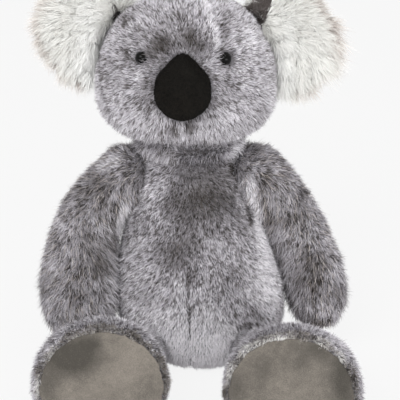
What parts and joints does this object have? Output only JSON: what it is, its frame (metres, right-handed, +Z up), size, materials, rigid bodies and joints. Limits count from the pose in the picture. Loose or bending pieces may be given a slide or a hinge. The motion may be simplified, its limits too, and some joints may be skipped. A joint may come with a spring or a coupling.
{
  "type": "plush_toy",
  "caption": "Seated plush koala, about 34 cm tall, of frosted grey fur fabric, with white-pile ears, black velour nose, glossy eyes and suede soles. Head, ears, arms and legs move.",
  "frame": {"origin": "middle of the toy's box on the floor it sits on", "axes": "+Z up along the toy's height, the longest extent; the toy faces -Y, and its left in the picture is -X"},
  "size_m": [0.274, 0.2896, 0.3423],
  "materials": {
    "grey_fur": "frosted grey fur fabric, pile about 9 mm",
    "white_pile": "long creamy white pile",
    "dark_pile": "short dark brown-grey pile",
    "black_velour": "black velour",
    "sole_suede": "olive-grey short-nap suede cloth",
    "eye_plastic": "polished black",
    "washer_plastic": "moulded",
    "stuffing": "polyester fibre fill",
    "bag_cloth": "plain woven cloth"
  },
  "bodies": {
    "torso": {"torso_cover": "grey_fur", "torso_stuffing": "stuffing", "pellet_bag": "bag_cloth"},
    "neck": {"neck_wad": "stuffing"},
    "head": {"head_cover": "grey_fur", "head_stuffing": "stuffing", "nose_cover": "black_velour", "nose_pad": "stuffing", "eye_left": "eye_plastic", "eye_left_washer": "washer_plastic", "eye_right": "eye_plastic", "eye_right_washer": "washer_plastic"},
    "ear_left": {"ear_left_front": "white_pile", "ear_left_back": "dark_pile"},
    "shoulder_left": {"shoulder_left_wad": "stuffing"},
    "arm_left": {"arm_left_cover": "grey_fur", "arm_left_stuffing": "stuffing"},
    "leg_left": {"leg_left_cover": "grey_fur", "leg_left_stuffing": "stuffing", "sole_left": "sole_suede"},
    "ear_right": {"ear_right_front": "white_pile", "ear_right_back": "dark_pile"},
    "shoulder_right": {"shoulder_right_wad": "stuffing"},
    "arm_right": {"arm_right_cover": "grey_fur", "arm_right_stuffing": "stuffing"},
    "leg_right": {"leg_right_cover": "grey_fur", "leg_right_stuffing": "stuffing", "sole_right": "sole_suede"}
  },
  "joints": [
    {"name": "neck_turn", "type": "hinge", "parent": "torso", "child": "neck", "pos_m": [-0.00464, 0.07975, 0.199], "axis": [0, 0, 1], "range_deg": [-50, 50]},
    {"name": "neck_nod", "type": "hinge", "parent": "neck", "child": "head", "pos_m": [-0.00464, 0.07975, 0.199], "axis": [1, 0, 0], "range_deg": [-10, 16]},
    {"name": "ear_left_fold", "type": "hinge", "parent": "head", "child": "ear_left", "pos_m": [-0.0799, 0.10134, 0.29676], "axis": [0.3907, 0, 0.9205], "range_deg": [-25, 25]},
    {"name": "arm_left_swing", "type": "hinge", "parent": "torso", "child": "shoulder_left", "pos_m": [-0.06012, 0.07678, 0.163], "axis": [1, 0, 0], "range_deg": [-30, 40]},
    {"name": "arm_left_raise", "type": "hinge", "parent": "shoulder_left", "child": "arm_left", "pos_m": [-0.06012, 0.07678, 0.163], "axis": [0, 1, 0], "range_deg": [0, 80]},
    {"name": "leg_left_swing", "type": "hinge", "parent": "torso", "child": "leg_left", "pos_m": [-0.04322, 0.00078, 0.023], "axis": [1, 0, 0], "range_deg": [-5, 70]},
    {"name": "ear_right_fold", "type": "hinge", "parent": "head", "child": "ear_right", "pos_m": [0.06729, 0.0962, 0.29676], "axis": [-0.3907, 0, 0.9205], "range_deg": [-25, 25]},
    {"name": "arm_right_swing", "type": "hinge", "parent": "torso", "child": "shoulder_right", "pos_m": [0.05588, 0.07678, 0.163], "axis": [1, 0, 0], "range_deg": [-30, 40]},
    {"name": "arm_right_raise", "type": "hinge", "parent": "shoulder_right", "child": "arm_right", "pos_m": [0.05588, 0.07678, 0.163], "axis": [0, -1, 0], "range_deg": [0, 80]},
    {"name": "leg_right_swing", "type": "hinge", "parent": "torso", "child": "leg_right", "pos_m": [0.05278, -0.00122, 0.023], "axis": [1, 0, 0], "range_deg": [-5, 70]}
  ]
}
